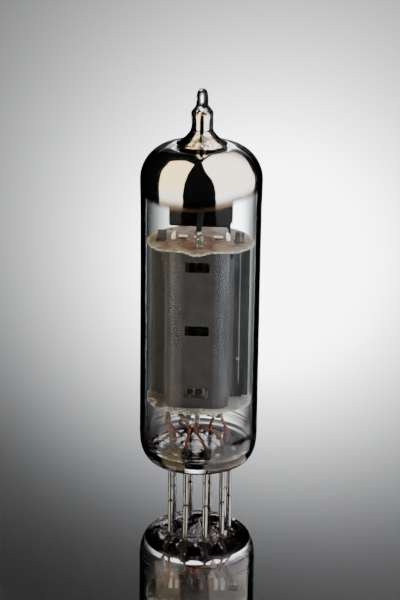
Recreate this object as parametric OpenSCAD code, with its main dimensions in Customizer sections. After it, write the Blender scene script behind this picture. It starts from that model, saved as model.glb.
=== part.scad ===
// Nine-pin miniature power pentode: a glass bulb with its exhaust tip at the top, fused to a
// pressed button stem with nine pins, round an electrode cage held between two mica plates.
// The origin is the centre of the pin circle in the plane of the pin tips, and +Z runs up the tube.

/* [Pins] */
// Diameter of the circle that the pins stand on
pin_circle_d = 11.89; // [11.5:0.01:12.3]
// Diameter of a pin
pin_d = 1.016; // [0.9:0.002:1.1]
// Length of a pin below the glass
pin_len = 7.2; // [6:0.1:8]
// Height of the rounded lower end of a pin
pin_tip_h = 0.45; // [0.2:0.05:0.8]
// Diameter of the flat that a pin ends in
pin_tip_d = 0.6; // [0.3:0.05:0.8]
// Height of the taper inside the glass, where the pin is welded to its sealing wire
pin_taper_h = 0.5; // [0.3:0.1:0.8]

/* [Button stem] */
// Thickness of the stem at its middle
stem_t = 3.1; // [2.4:0.1:4]
// Height from the flat underside to the fused seam
seam_h = 5.8; // [5:0.1:6.4]
// Diameter of the flat underside
base_flat_d = 14.5; // [13:0.1:16]
// Depth of the shallow dish in the underside
base_dish = 0.25; // [0:0.05:0.6]
// Diameter of the dish in the underside
base_dish_d = 8.6; // [6:0.1:9.4]
// Diameter of the raised round table inside, which carries the leads
table_d = 15.4; // [14:0.1:16]
// Depth of the moat between the table and the rim
moat_depth = 0.8; // [0.2:0.1:1.4]
// Height of the glass mound round each lead
mound_h = 0.9; // [0.4:0.1:1.4]
// Diameter of a mound at its foot
mound_d = 3.0; // [2.4:0.1:3.4]
// Diameter of a mound at its top
mound_top_d = 1.5; // [1.2:0.1:1.8]

/* [Bulb] */
// Outer diameter of the straight wall
bulb_d = 22; // [21:0.1:23]
// Thickness of the wall
bulb_wall = 0.9; // [0.6:0.05:1.1]
// Height of the dome's spring line above the pin tips
shoulder_z = 61.5; // [58:0.5:66]
// Swell of the radius just below the dome
shoulder_swell = 0.14; // [0:0.02:0.3]
// Length over which the swell grows
swell_len = 6; // [3:0.5:10]
// Height of the dome's rounded corner above the spring line
dome_h = 6.6; // [5.5:0.1:7]
// Width of the dome's rounded corner
dome_corner = 6.4; // [5:0.1:6.6]
// Rise of the shallow cone from the rounded corner to the foot of the flare
cone_rise = 0.4; // [0.3:0.1:1]
// Thickness of the glass at the top of the dome
dome_t = 1; // [0.7:0.1:1.4]
// Outer diameter of the exhaust tube's stub
stub_d = 4.04; // [3.4:0.02:4.6]
// Bore of the exhaust tube's stub
stub_bore = 2.5; // [1.8:0.1:2.8]
// Diameter of the flare at its foot on the dome
flare_d = 8.2; // [7:0.1:8.8]
// Height of the flare between the dome and the stub
flare_h = 2.2; // [1.6:0.1:3]
// Length of the straight part of the stub
stub_len = 3; // [1.5:0.1:4]
// Height of the slope between the stub and the sealed nib
nib_slope = 1.4; // [0.8:0.1:2]
// Height of the sealed nib
nib_h = 3; // [2:0.1:4]
// Diameter of the sealed nib
nib_d = 2.2; // [1.6:0.1:2.8]

/* [Getter mirror] */
// Height at which the mirror film on the inside of the bulb starts
film_z = 59; // [56:0.5:60]
// Thickness of the film
film_t = 0.06; // [0.04:0.01:0.1]

/* [Micas] */
// Height of the lower mica's top face above the pin tips
cage_z = 20.15; // [18:0.05:23]
// Height of the cage between the facing sides of the two micas
cage_h = 29.8; // [26:0.1:32]
// Thickness of a mica
mica_t = 0.3; // [0.2:0.05:0.5]
// Distance from the axis to the straight front edge of the top mica
mica_flat = 7.8; // [7.4:0.1:8.6]
// Half width of the noses at the front and the back of the top mica
nose_half_w = 2.8; // [2:0.1:3.5]
// Depth of the shallow scallops between the points of the lower mica
scallop = 0.25; // [0.1:0.05:0.5]

/* [Anode] */
// Width over both wings
anode_w = 18.1; // [17:0.1:18.6]
// Width of the box at the roots of the wings
anode_root_w = 12.2; // [11.6:0.1:13]
// Depth of the box from its front to its back
anode_depth = 14.4; // [13:0.1:15]
// Width of the flat front of the box
anode_face_w = 7.4; // [6:0.1:8]
// Thickness of the sheet
anode_sheet = 0.25; // [0.15:0.05:0.35]
// Width of a window
window_w = 4.3; // [3:0.1:5]
// Height of a window
window_h = 1.9; // [1:0.1:3]
// Distance between the middles of neighbouring windows
window_pitch = 12; // [10:0.1:13]
// Height of the notch at each lower and upper corner of the box
notch_h = 2; // [0:0.1:3]
// Gap between the ends of the wings and the micas
wing_gap = 0.35; // [0.1:0.05:0.8]
// Distance from the axis to the middle of a lug
lug_x = 7.1; // [6.9:0.05:7.6]
// Width of a lug
lug_w = 1.65; // [1:0.05:1.9]
// Height of the back half's lug above the top mica
lug_h = 1.6; // [1:0.1:2.4]
// Height of the fold above the top mica, where the front half's lug is bent forward
lug_fold_z = 0.4; // [0.35:0.05:0.6]
// Length of the front half's lug from the fold to its end
lug_len = 1.8; // [1:0.1:2]
// Angle that the front half's lug is bent by
lug_bend = 98; // [60:1:100]

/* [Cathode and heater] */
// Width of the oval cathode sleeve
cathode_w = 2.3; // [1.9:0.1:2.6]
// Depth of the oval cathode sleeve
cathode_depth = 1.1; // [0.9:0.05:1.3]
// Wall of the sleeve
cathode_wall = 0.1; // [0.06:0.01:0.15]
// Diameter of the coated heater wire
heater_d = 0.26; // [0.18:0.02:0.3]
// Distance that the heater's folds hang below the sleeve
heater_drop = 3.9; // [1:0.1:4.4]

/* [Grids] */
// Diameter of a control grid rod
control_rod_d = 0.7; // [0.5:0.05:0.9]
// Distance from the axis to a control grid rod
control_rod_x = 2.35; // [2.2:0.05:2.6]
// Half depth of the control grid winding
control_half = 1.25; // [1.1:0.05:1.5]
// Turns of the control grid winding
control_turns = 30; // [10:1:40]
// Diameter of a screen grid rod
screen_rod_d = 0.7; // [0.5:0.05:0.9]
// Distance from the axis to a screen grid rod
screen_rod_x = 3.75; // [3.6:0.05:4]
// Half depth of the screen grid winding
screen_half = 2.2; // [1.9:0.1:2.8]
// Turns of the screen grid winding
screen_turns = 22; // [8:1:30]
// Diameter of a suppressor grid rod
suppressor_rod_d = 0.8; // [0.5:0.05:0.9]
// Distance from the axis to a suppressor grid rod
suppressor_rod_x = 5; // [4.9:0.05:5.1]
// Half depth of the suppressor grid winding
suppressor_half = 4; // [3:0.1:4.8]
// Turns of the suppressor grid winding
suppressor_turns = 9; // [4:1:14]
// Diameter of the grid wires
grid_wire_d = 0.12; // [0.08:0.01:0.16]
// Length of a grid rod below the lower mica
rod_below = 2; // [1:0.1:3]
// Height of a suppressor rod above the top mica
rod_above = 1.4; // [0.8:0.1:1.8]
// Slope of the slanted cuts at the tops of the suppressor rods
cut_slope = 58; // [30:1:65]
// Length of the bent tops of the screen rods
bent_len = 1.4; // [0.8:0.1:1.8]
// Diameter of the stop collars pressed on the suppressor rods
collar_d = 1.2; // [1.1:0.05:1.4]

/* [Getter and radiator] */
// Width of the getter post
post_w = 1; // [0.8:0.1:1.4]
// Thickness of the getter post
post_t = 0.25; // [0.15:0.05:0.4]
// Distance from the axis to the getter post
post_y = 6; // [5:0.1:6.6]
// Length of the getter post above its bracket
post_h = 7.6; // [6:0.1:10]
// Lean of the getter post to the right
post_lean = 7; // [0:0.5:8]
// Height of the wider bracket at the foot of the post
bracket_h = 3.2; // [2.5:0.1:5]
// Width of the bracket
bracket_w = 1.45; // [1.4:0.05:2.2]
// Outer diameter of the getter ring
getter_d = 9; // [7:0.1:10]
// Width of the channel of the getter ring
getter_channel = 1; // [0.7:0.1:1.4]
// Width of the blackened radiator plate
plate_w = 12; // [10:0.1:12.6]
// Distance that the plate stands to the left of the axis
plate_shift = 0.35; // [0:0.05:0.5]
// Height of the radiator plate
plate_h = 7; // [5:0.1:8]
// Height of the plate's lower edge above the top mica
plate_lift = 1.1; // [0.6:0.1:3]
// Distance from the axis back to the plate
plate_y = 4.6; // [3.6:0.1:5]

/* [Leads] */
// Diameter of the red sealing wire
lead_d = 0.6; // [0.4:0.05:0.75]
// Width of the nickel straps
strap_w = 1; // [0.6:0.1:1.2]
// Thickness of the nickel straps
strap_t = 0.2; // [0.1:0.05:0.3]

/* [Clearances] */
// Gap round a pin in the glass
seal_gap = 0.01; // [0.005:0.005:0.03]
// Gap round a rod or a lug in a mica
mica_gap = 0.04; // [0.02:0.01:0.1]
// Gap between the points of a mica and the glass
fit_gap = 0.1; // [0.05:0.05:0.3]
// Gap at a weld between two pieces
weld_gap = 0.04; // [0.02:0.01:0.06]

/* [Hidden] */
$fn = 48;

// Heights
base_z = pin_len;
seam_z = base_z + seam_h;
table_z = base_z + stem_t;
mound_z = table_z + mound_h;
dome_z = shoulder_z + dome_h;
flare_z = dome_z + cone_rise;
stub_z = flare_z + flare_h;
nib_z = stub_z + stub_len + nib_slope;
tip_z = nib_z + nib_h;
top_mica_z = cage_z + cage_h;
deck_z = top_mica_z + mica_t;
under_z = cage_z - mica_t;

// Radii
bulb_r = bulb_d / 2;
bore_r = bulb_r - bulb_wall;
mica_r = bore_r - fit_gap;
lead_r = lead_d / 2;
wire_r = grid_wire_d / 2;

// The pins take nine of ten even places, and the empty place faces -X.
PIN_PLACES = 10;
pin_step = 360 / PIN_PLACES;
function pin_angle(i) = 180 + pin_step * i;
function on_circle(r, a) = [r * cos(a), r * sin(a)];
function pin_xy(i) = on_circle(pin_circle_d / 2, pin_angle(i));

// Points along a quarter of a rounded corner, from the full width to the full height.
function corner(w, h, power, count) =
    [for (i = [0 : count]) let (a = 90 * i / count)
        [w * pow(cos(a), 2 / power), h * pow(sin(a), 2 / power)]];

function reverse(list) = [for (i = [len(list) - 1 : -1 : 0]) list[i]];
function unit(v) = v / norm(v);
function at(xy, z) = [xy[0], xy[1], z];

// A path with each inner corner cut back and rounded.
function soften(path, cut) = concat(
    [path[0]],
    [for (i = [1 : len(path) - 2])
        let (p = path[i], a = path[i - 1] - p, b = path[i + 1] - p)
        let (q = min(cut, norm(a) / 2.2), s = min(cut, norm(b) / 2.2))
        let (m = p + unit(a) * q, n = p + unit(b) * s)
        each [m, (m + 2 * p + n) / 4, n]],
    [path[len(path) - 1]]);

function tangent(path, i) = unit(
    i == 0 ? path[1] - path[0]
    : i == len(path) - 1 ? path[i] - path[i - 1]
    : unit(path[i + 1] - path[i]) + unit(path[i] - path[i - 1]));
function across(v, t) = unit(v - (v * t) * t);

// A bar of a given section swept along a path. The section's first axis starts along side.
module sweep_bar(path, section, side) {
    count = len(path);
    ring = len(section);
    frames = [for (i = 0, v = across(side, tangent(path, 0)); i < count;
        i = i + 1, v = i < count ? across(v, tangent(path, i)) : v) v];
    points = [for (i = [0 : count - 1])
        let (u = frames[i], w = cross(tangent(path, i), u))
        for (s = section) path[i] + s[0] * u + s[1] * w];
    sides = [for (i = [0 : count - 2]) for (k = [0 : ring - 1])
        let (a = i * ring + k, b = i * ring + (k + 1) % ring)
        each [[a, a + ring, b], [b, a + ring, b + ring]]];
    caps = [[for (k = [0 : ring - 1]) k], [for (k = [ring - 1 : -1 : 0]) (count - 1) * ring + k]];
    polyhedron(points, concat(sides, caps));
}

function ngon(r, sides) = [for (k = [0 : sides - 1]) on_circle(r, 360 * k / sides)];
function bar_section(w, t) = [[-w / 2, -t / 2], [w / 2, -t / 2], [w / 2, t / 2], [-w / 2, t / 2]];

module wire(path, r) {
    sweep_bar(path, ngon(r, 8), [1, 0.01, 0]);
}

module strap(path, side) {
    sweep_bar(path, bar_section(strap_w, strap_t), side);
}

// The outside of the bulb from the seam up to the tip, as radius and height.
FLARE_POWER = 1.26;
FLARE_STEPS = 8;
swell_z = shoulder_z - swell_len;
plateau_r = bulb_r - dome_corner;
function flare(from, to) = [for (i = [FLARE_STEPS - 1 : -1 : 1])
    let (p = corner(from[0] - to[0], to[1] - from[1], FLARE_POWER, FLARE_STEPS)[i])
    [from[0] - p[0], to[1] - p[1]]];
function bulb_outside() = concat(
    [[bulb_r, seam_z], [bulb_r, swell_z], [bulb_r + shoulder_swell / 2, swell_z + swell_len / 2]],
    [for (p = corner(dome_corner + shoulder_swell, dome_h, 2, 14))
        [plateau_r + p[0], shoulder_z + p[1]]],
    [[flare_d / 2, flare_z]],
    flare([flare_d / 2, flare_z], [stub_d / 2, stub_z]),
    [[stub_d / 2, stub_z], [stub_d / 2, stub_z + stub_len]],
    [[nib_d / 2, nib_z], [nib_d / 2 * 0.95, nib_z + nib_h * 0.55]],
    [for (i = [1 : 5]) let (a = 18 * i)
        [nib_d / 2 * 0.95 * cos(a), tip_z - nib_h * 0.45 * (1 - sin(a))]]);

// The inside of the bulb, from the seam up to the end of the stub's bore.
inner_corner = dome_corner - bulb_wall;
bore_end_z = stub_z + stub_len;
function bulb_inside(gap) =
    let (foot = [flare_d / 2 - gap, flare_z - dome_t - gap])
    let (top = [stub_bore / 2 - gap, stub_z - dome_t / 2 - gap])
    concat(
        [[bore_r - gap, swell_z], [bore_r + shoulder_swell / 2 - gap, swell_z + swell_len / 2]],
        [for (p = corner(inner_corner + shoulder_swell - gap, dome_h - dome_t - gap, 2, 12))
            [plateau_r + p[0], shoulder_z + p[1]]],
        [foot], flare(foot, top), [top, [stub_bore / 2 - gap, bore_end_z]]);

module glass_bulb() {
    color([0.86, 0.9, 0.92, 0.35])
    rotate_extrude($fn = 96)
    polygon(concat(
        bulb_outside(),
        [[0, bore_end_z + stub_bore / 2]],
        reverse(concat(
            [[bore_r, seam_z]],
            bulb_inside(0),
            [for (i = [1 : 3]) let (a = 24 * i)
                [stub_bore / 2 * cos(a), bore_end_z + stub_bore / 2 * sin(a)]]))));
}

// The stem is a pressed button with its rim turned up to meet the bulb.
RIM_POWER = 2.4;
module stem_body() {
    rotate_extrude($fn = 96)
    polygon(concat(
        [[0, base_z + base_dish], [base_dish_d / 2 - base_dish, base_z + base_dish]],
        [[base_dish_d / 2, base_z]],
        reverse([for (p = corner(bulb_r - base_flat_d / 2, seam_h, RIM_POWER, 10))
            [base_flat_d / 2 + p[0], seam_z - p[1]]]),
        [[bore_r, seam_z], [bore_r - 0.15, seam_z - 1.2]],
        [[(bore_r + table_d / 2) / 2 + 0.45, table_z - moat_depth + 0.35]],
        [[(bore_r + table_d / 2) / 2, table_z - moat_depth]],
        [[table_d / 2 + 0.3, table_z - moat_depth + 0.1]],
        [[table_d / 2, table_z - 0.2], [table_d / 2 - 0.3, table_z], [0, table_z]]));
}

// The hole in the glass fits the pin's taper and then the sealing wire.
module pin_seat() {
    cylinder(h = base_z, d = pin_d + 2 * seal_gap);
    translate([0, 0, base_z])
    cylinder(h = pin_taper_h, d1 = pin_d + 2 * seal_gap, d2 = lead_d + 2 * seal_gap);
    translate([0, 0, base_z]) cylinder(h = mound_z - base_z + 1, d = lead_d + 2 * seal_gap);
}

module button_stem() {
    color([0.84, 0.88, 0.9, 0.4])
    difference() {
        union() {
            stem_body();
            for (i = [1 : 9])
                translate(at(pin_xy(i), table_z - 0.2))
                cylinder(h = mound_h + 0.2, d1 = mound_d, d2 = mound_top_d);
        }
        for (i = [1 : 9])
            translate(at(pin_xy(i), 0)) pin_seat();
    }
}

// The mirror of evaporated metal lines the dome and the bore of the stub.
film_gap = 0.02;
function wall_inside(z) = bore_r + shoulder_swell * max(0, z - swell_z) / swell_len;
function film_side(gap) = concat(
    [[wall_inside(film_z) - gap, film_z]],
    [for (p = bulb_inside(gap)) if (p[1] > film_z + 0.2) p]);
module getter_mirror() {
    color([0.12, 0.11, 0.11])
    rotate_extrude($fn = 96)
    polygon(concat(film_side(film_gap), reverse(film_side(film_gap + film_t))));
}

// A pin is a stiff nickel wire. Its upper end tapers in the glass to the thinner sealing wire
// that is butt welded on it.
module pin(i) {
    color([0.72, 0.71, 0.69])
    translate(at(pin_xy(i), 0)) {
        cylinder(h = pin_tip_h, d1 = pin_tip_d, d2 = pin_d);
        translate([0, 0, pin_tip_h]) cylinder(h = base_z - pin_tip_h, d = pin_d);
        translate([0, 0, base_z]) cylinder(h = pin_taper_h, d1 = pin_d, d2 = lead_d);
    }
}

// A place between the stem and the lower mica. The first two numbers are tenths of the bore's
// radius, and the third is tenths of the drop from the mica to the stem's table.
hang = (under_z - table_z) / 10;
function hung(x, y, drop) = [x * bore_r / 10, y * bore_r / 10, under_z - drop * hang];

// The routes of the sealing wires: straight up through the glass and out of the mounds, then over
// to the place below the cage where a strap is welded to them. Wires one, six and eight serve no
// electrode.
function foot(i, rise) = at(pin_xy(i), mound_z + rise);
function lead_bends(i) =
    i == 1 ? [hung(-5.05, -3.66, 2.3)]
    : i == 2 ? [hung(-1.34, -2.82, 5.86), hung(-1.34, -2.82, 4.82)]
    : i == 3 ? [hung(-0.35, -3.12, 5.97), hung(-0.35, -3.12, 4.61)]
    : i == 4 ? [hung(3.96, -3.17, 6.07), heater_joint + [0.6, 0, 0], heater_joint - [0.3, 0, 0]]
    : i == 5 ? [hung(5.15, -0.2, 6.28), hung(4.36, -0.2, 4.61), hung(4.26, -0.2, 3.14)]
    : i == 6 ? [foot(6, 2) + [0.05, 0.1, 0]]
    : i == 7 ? [hung(2.57, 4.85, 6.28), hung(2.57, 4.85, 5.03)]
    : i == 8 ? [hung(-3.27, 4.95, 8.38), hung(-4.06, 4.26, 7.64), hung(-2.97, 3.56, 5.65)]
    : [hung(-6.44, 2.97, 7.02), hung(-6.44, 2.97, 5.86)];
function lead_route(i) = concat([at(pin_xy(i), base_z + pin_taper_h), foot(i, 0.6)], lead_bends(i));
function lead_end(i) = lead_route(i)[len(lead_route(i)) - 1];

module lead(i) {
    color([0.78, 0.38, 0.22]) wire(soften(lead_route(i), 0.5), lead_r);
}

// Mica plates: stamped sheets with holes for the rods, the cathode and the lugs of the anode.
module mica_holes() {
    square([cathode_w - cathode_depth, cathode_depth + 2 * mica_gap], center = true);
    for (s = [-1, 1]) {
        translate([s * (cathode_w - cathode_depth) / 2, 0]) circle(d = cathode_depth + 2 * mica_gap);
        translate([s * control_rod_x, 0]) circle(d = control_rod_d + 2 * mica_gap);
        translate([s * screen_rod_x, 0]) circle(d = screen_rod_d + 2 * mica_gap);
        translate([s * suppressor_rod_x, 0]) circle(d = suppressor_rod_d + 2 * mica_gap);
        translate([s * lug_x, 0])
        square([lug_w + 2 * mica_gap, 2 * anode_sheet + 2 * mica_gap], center = true);
    }
}

// The lower mica is almost round, with points that bear on the glass.
MICA_POINTS = 8;
function bottom_mica_outline() = [for (k = [0 : MICA_POINTS * 6 - 1])
    let (dip = k % 6 == 0 ? 0 : (k % 6 == 1 || k % 6 == 5) ? scallop : scallop * 0.85)
    on_circle(mica_r - dip, 360 * k / (MICA_POINTS * 6))];

module bottom_mica() {
    color([0.78, 0.76, 0.7, 0.9])
    translate([0, 0, under_z])
    linear_extrude(mica_t)
    difference() {
        polygon(bottom_mica_outline());
        mica_holes();
    }
}

// The top mica has a point at each side, a rounded back edge and a straight front edge, each
// with a nose in its middle, and two corners at the front that bear on the glass.
front_corner_a = 44.5;
side_r = mica_r - 0.2;
function side_arc(from, to) = [for (k = [0 : 6]) on_circle(side_r, from + (to - from) * k / 6)];
function top_mica_outline() = concat(
    [on_circle(mica_r, 0)], side_arc(6, 62),
    [[nose_half_w, mica_r - 1.1], [0.5, mica_r - 0.02], [-0.5, mica_r - 0.02]],
    [[-nose_half_w, mica_r - 1.1]], side_arc(118, 174), [on_circle(mica_r, 180)],
    side_arc(186, 180 + front_corner_a - 6), [on_circle(mica_r, 180 + front_corner_a)],
    [[-nose_half_w * 1.6, -mica_flat + 0.2], [-nose_half_w, -mica_flat]],
    [[-0.5, -mica_r + 0.02], [0.5, -mica_r + 0.02]],
    [[nose_half_w, -mica_flat], [nose_half_w * 1.6, -mica_flat + 0.2]],
    [on_circle(mica_r, -front_corner_a)], side_arc(-front_corner_a + 6, -6));

// Two holes of the sheet are left empty.
SPARE_HOLE_D = 0.65;
spare_holes = [[-0.6, 0.59], [0.61, -0.4]];
module top_mica() {
    color([0.72, 0.64, 0.56, 0.9])
    translate([0, 0, top_mica_z])
    linear_extrude(mica_t)
    difference() {
        polygon(top_mica_outline());
        mica_holes();
        translate([0, -post_y + post_t / 2])
        square([bracket_w + 2 * mica_gap, post_t + 2 * mica_gap], center = true);
        translate([leg_x - leg_end / 2 - plate_shift, plate_y])
        square([leg_end + 2 * mica_gap, post_t + 2 * mica_gap], center = true);
        for (place = spare_holes) translate(place * mica_r) circle(d = SPARE_HOLE_D);
    }
}

// One half of the anode is a sheet pressed into half a box with a wing at each side. The middle
// line of the sheet runs from a wing's edge round the root and the flank to the flat front.
WING_BEND = 0.35;
flank_w = (anode_root_w - anode_face_w) / 2;
face_mid = anode_depth / 2 - anode_sheet / 2;
function half_line() = concat(
    [[anode_w / 2, anode_sheet / 2], [anode_root_w / 2 + WING_BEND, anode_sheet / 2]],
    [for (p = corner(flank_w, face_mid - 2 * WING_BEND, 2.2, 7))
        [anode_face_w / 2 + p[0], 2 * WING_BEND + p[1]]]);

// A path moved sideways by a distance, with its corners kept sharp.
function left_of(v) = [-v[1], v[0]];
function moved(path, d) = [for (i = [0 : len(path) - 1])
    let (a = left_of(unit(path[max(i, 1)] - path[max(i, 1) - 1])))
    let (j = min(i, len(path) - 2), b = left_of(unit(path[j + 1] - path[j])))
    path[i] + (a + b) * d / (1 + a * b)];

module half_sheet() {
    right = half_line();
    line = concat(right, [for (p = reverse(right)) [-p[0], p[1]]]);
    polygon(concat(moved(line, anode_sheet / 2), reverse(moved(line, -anode_sheet / 2))));
}

// The ends of the wings stop short of the micas, and a notch opens each corner of the box.
notch_in = 2.1;
notch_y = [0.9, 5.1];
end_gap = 0.05;
module anode_end_cuts() {
    for (s = [0, 1]) mirror([s, 0, 0]) {
        translate([anode_root_w / 2 + 0.05, -1, -wing_gap])
        cube([anode_w / 2, 2, 2 * wing_gap]);
        translate([anode_root_w / 2 - notch_in, notch_y[0], -notch_h])
        cube([notch_in + 0.5, notch_y[1] - notch_y[0], 2 * notch_h]);
    }
}

lug_below = 0.9;
lug_root = wing_gap + 0.1;
lug_middle = anode_sheet * 0.6;
module anode_half(lug_top) {
    translate([0, 0, cage_z]) {
        difference() {
            translate([0, 0, end_gap]) linear_extrude(cage_h - 2 * end_gap) half_sheet();
            for (k = [-1 : 1])
                translate([0, anode_depth / 2, cage_h / 2 + k * window_pitch])
                cube([window_w, 2, window_h], center = true);
            anode_end_cuts();
            translate([0, 0, cage_h]) anode_end_cuts();
        }
        for (s = [-1, 1]) translate([s * lug_x - lug_w / 2, 0, 0]) {
            translate([0, 0, -mica_t - lug_below])
            cube([lug_w, anode_sheet, mica_t + lug_below + lug_root]);
            translate([0, 0, cage_h - lug_root])
            cube([lug_w, anode_sheet, mica_t + lug_top + lug_root]);
        }
    }
}

// The front half's lugs are folded forward over the mica, which locks the cage together.
module anode_front() {
    color([0.3, 0.29, 0.29])
    mirror([0, 1, 0]) {
        anode_half(lug_fold_z + lug_middle);
        for (s = [-1, 1])
            translate([s * lug_x - lug_w / 2, anode_sheet, deck_z + lug_fold_z])
            rotate([-lug_bend, 0, 0])
            translate([0, -anode_sheet, -anode_sheet])
            cube([lug_w, anode_sheet, lug_len + anode_sheet]);
    }
}

module anode_back() {
    color([0.3, 0.29, 0.29]) anode_half(lug_h);
}

// The oval sleeve carries the emitting coating and passes through both micas.
module oval(w, d) {
    square([w - d, d], center = true);
    for (s = [-1, 1]) translate([s * (w - d) / 2, 0]) circle(d = d);
}

cathode_low = under_z - 1.2;
cathode_high = deck_z;
module cathode_sleeve() {
    color([0.85, 0.85, 0.82])
    translate([0, 0, cathode_low])
    linear_extrude(cathode_high - cathode_low)
    difference() {
        oval(cathode_w, cathode_depth);
        oval(cathode_w - 2 * cathode_wall, cathode_depth - 2 * cathode_wall);
    }
}

// The heater is one coated wire folded up and down inside the sleeve.
HEATER_LEGS = 6;
heater_pitch = (cathode_w - 2 * cathode_wall - heater_d - 0.1) / (HEATER_LEGS - 1);
heater_low = cathode_low - heater_drop;
heater_high = cathode_high - 1.5;
function heater_x(k) = (k - (HEATER_LEGS - 1) / 2) * heater_pitch;
heater_end_z = cathode_low - 2 * cathode_depth;
heater_end_x = heater_x(HEATER_LEGS - 1) + 0.8 * cathode_depth;
heater_end_y = -0.8 * cathode_depth;
function heater_tail(s) = [
    [s * heater_end_x, heater_end_y, heater_end_z],
    [s * heater_end_x, heater_end_y, heater_end_z + 0.6],
    [s * heater_x(HEATER_LEGS - 1), 0, cathode_low - 0.5]];
function heater_route() = concat(
    heater_tail(-1),
    [for (k = [0 : HEATER_LEGS - 1])
        let (low = k == 0 || k == HEATER_LEGS - 1 ? cathode_low : heater_low)
        each k % 2 == 0
            ? [[heater_x(k), 0, low], [heater_x(k), 0, heater_high]]
            : [[heater_x(k), 0, heater_high], [heater_x(k), 0, low]]],
    reverse(heater_tail(1)));

module heater() {
    color([0.93, 0.92, 0.88]) wire(heater_route(), heater_d / 2);
}

// Side rods of a grid. The tops of some rods are bent over on the mica.
module grid_rods(x, d, below, above) {
    for (s = [-1, 1])
        translate([s * x, 0, under_z - below])
        cylinder(h = deck_z + above - under_z + below, d = d, $fn = 24);
}

// The winding of a grid is one wire wound round the outside of both rods.
TURN_STEPS = 12;
winding_margin = 1.2;
function winding_path(x, half, turns) =
    let (low = cage_z + winding_margin, rise = cage_h - 2 * winding_margin)
    [for (k = [0 : turns * TURN_STEPS])
        let (a = 360 * (k + 0.5) / TURN_STEPS)
        [x * cos(a), half * sin(a), low + rise * k / (turns * TURN_STEPS)]];

module grid_winding(rod_x, rod_d, half, turns) {
    reach = (rod_x + rod_d / 2 + wire_r + weld_gap) / cos(180 / TURN_STEPS);
    sweep_bar(winding_path(reach, half, turns), ngon(wire_r, 4), [1, 0, 0]);
}

module control_grid_rods() {
    color([0.72, 0.45, 0.3])
    grid_rods(control_rod_x, control_rod_d, rod_below, bend_lift / 2);
}

module control_grid_winding() {
    color([0.6, 0.58, 0.52])
    grid_winding(control_rod_x, control_rod_d, control_half, control_turns);
}

// The screen rods are bent inwards over the mica at their tops.
bend_lift = 0.1;
bent_z = deck_z + bend_lift + screen_rod_d / 2;
module screen_grid_rods() {
    color([0.78, 0.77, 0.75])
    union() {
        grid_rods(screen_rod_x, screen_rod_d, rod_below, bend_lift + screen_rod_d / 2);
        for (s = [-1, 1]) {
            translate([s * screen_rod_x, 0, bent_z]) sphere(d = screen_rod_d, $fn = 24);
            translate([s * screen_rod_x, 0, bent_z])
            rotate([0, -s * 90, 0])
            cylinder(h = bent_len, d = screen_rod_d, $fn = 24);
        }
    }
}

module screen_grid_winding() {
    color([0.6, 0.58, 0.52])
    grid_winding(screen_rod_x, screen_rod_d, screen_half, screen_turns);
}

// The suppressor rods are cut off on a slant, which faces forward and outward.
CUT_TURN = 35;
module suppressor_grid_rods() {
    color([0.8, 0.79, 0.77])
    union() {
        difference() {
            grid_rods(suppressor_rod_x, suppressor_rod_d, rod_below, rod_above);
            for (s = [-1, 1])
                translate([s * suppressor_rod_x, 0, deck_z + rod_above])
                rotate([0, 0, s * CUT_TURN])
                translate([-suppressor_rod_d, suppressor_rod_d / 2, 0])
                rotate([cut_slope, 0, 0])
                translate([0, -4 * suppressor_rod_d, 0])
                cube([2 * suppressor_rod_d, 4 * suppressor_rod_d, suppressor_rod_d]);
        }
        for (s = [-1, 1])
            translate([s * suppressor_rod_x, 0, cage_z + end_gap])
            cylinder(h = winding_margin - 0.2, d = collar_d, $fn = 24);
    }
}

module suppressor_grid_winding() {
    color([0.6, 0.58, 0.52])
    grid_winding(suppressor_rod_x, suppressor_rod_d, suppressor_half, suppressor_turns);
}

// The getter post is a strip welded to a bracket that stands in a slot of the top mica.
POST_LAP = 1.4;
post_z = deck_z + bracket_h;
module getter_post() {
    color([0.45, 0.45, 0.46])
    translate([0, -post_y, 0]) {
        translate([-bracket_w / 2, 0, top_mica_z - 0.6])
        cube([bracket_w, post_t, post_z - top_mica_z + 0.6]);
        translate([0, post_t, post_z])
        rotate([0, post_lean, 0])
        translate([-post_w / 2, 0, -POST_LAP])
        cube([post_w, post_t, post_h + POST_LAP]);
    }
}

// The getter is a channel bent into a ring, open at its top, welded on the end of the post.
ring_x = post_h * sin(post_lean);
ring_y = -post_y + 1.5 * post_t + (getter_d - getter_channel) / 2;
ring_z = post_z + post_h * cos(post_lean) + post_w / 2 * sin(post_lean) + weld_gap;
GETTER_SHEET = 0.15;
module getter_ring() {
    color([0.55, 0.53, 0.5])
    translate([ring_x, ring_y, ring_z])
    rotate_extrude($fn = 64)
    translate([getter_d / 2 - getter_channel, 0])
    difference() {
        square([getter_channel, getter_channel * 0.7]);
        translate([GETTER_SHEET, GETTER_SHEET])
        square([getter_channel - 2 * GETTER_SHEET, getter_channel]);
    }
}

// The radiator plate stands behind the post on one narrow leg at its right, beside a cut in its
// lower corner. Its other lower corner is rounded.
LEG_TOP = 0.7;
leg_end = 0.4;
leg_x = plate_w / 2 - 0.4;
PLATE_CORNER = 0.5;
module radiator_plate() {
    low = plate_lift;
    high = plate_lift + plate_h;
    color([0.08, 0.08, 0.08])
    translate([-plate_shift, plate_y + post_t / 2, deck_z])
    rotate([90, 0, 0])
    linear_extrude(post_t)
    polygon(concat(
        [[plate_w / 2, high], [plate_w / 2, low + 0.7], [leg_x + 0.1, low + 1], [leg_x, low - 0.3]],
        [[leg_x, -mica_t - 0.5], [leg_x - leg_end, -mica_t - 0.5]],
        [[leg_x - leg_end, low - 0.6], [leg_x - LEG_TOP, low]],
        [for (p = corner(PLATE_CORNER, PLATE_CORNER, 2, 4))
            [PLATE_CORNER - plate_w / 2 - p[1], low + PLATE_CORNER - p[0]]],
        [[-plate_w / 2, high]]));
}

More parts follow.
